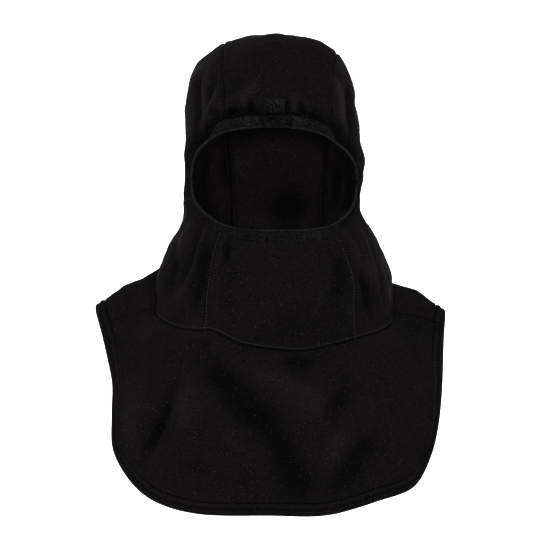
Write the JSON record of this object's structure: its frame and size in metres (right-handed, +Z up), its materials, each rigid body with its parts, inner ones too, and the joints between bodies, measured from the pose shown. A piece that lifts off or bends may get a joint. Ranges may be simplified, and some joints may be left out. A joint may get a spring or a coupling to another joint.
{
  "type": "particulate hood",
  "caption": "Black knit particulate hood in worn form: head cover with an elastic face opening and pull loop, neck, and a rounded shoulder bib with a turned hem.",
  "frame": {"origin": "inside of the crown at its top, where a head carries the hood", "axes": "+Z up along the height, -Y to the front where the face opening is, X across the bib; left is -X as seen from the front"},
  "size_m": [0.3795, 0.2802, 0.5132],
  "materials": {
    "knit": "matte black double knit with fine pale flecks",
    "elastic_tape": "satin black woven elastic"
  },
  "bodies": {
    "root": {"crown_panel": "knit", "side_panel_left": "knit", "side_panel_right": "knit", "chin_panel": "knit", "face_elastic": "elastic_tape", "pull_loop": "elastic_tape", "bib_front": "knit", "bib_back": "knit", "bib_hem": "knit"}
  },
  "joints": []
}
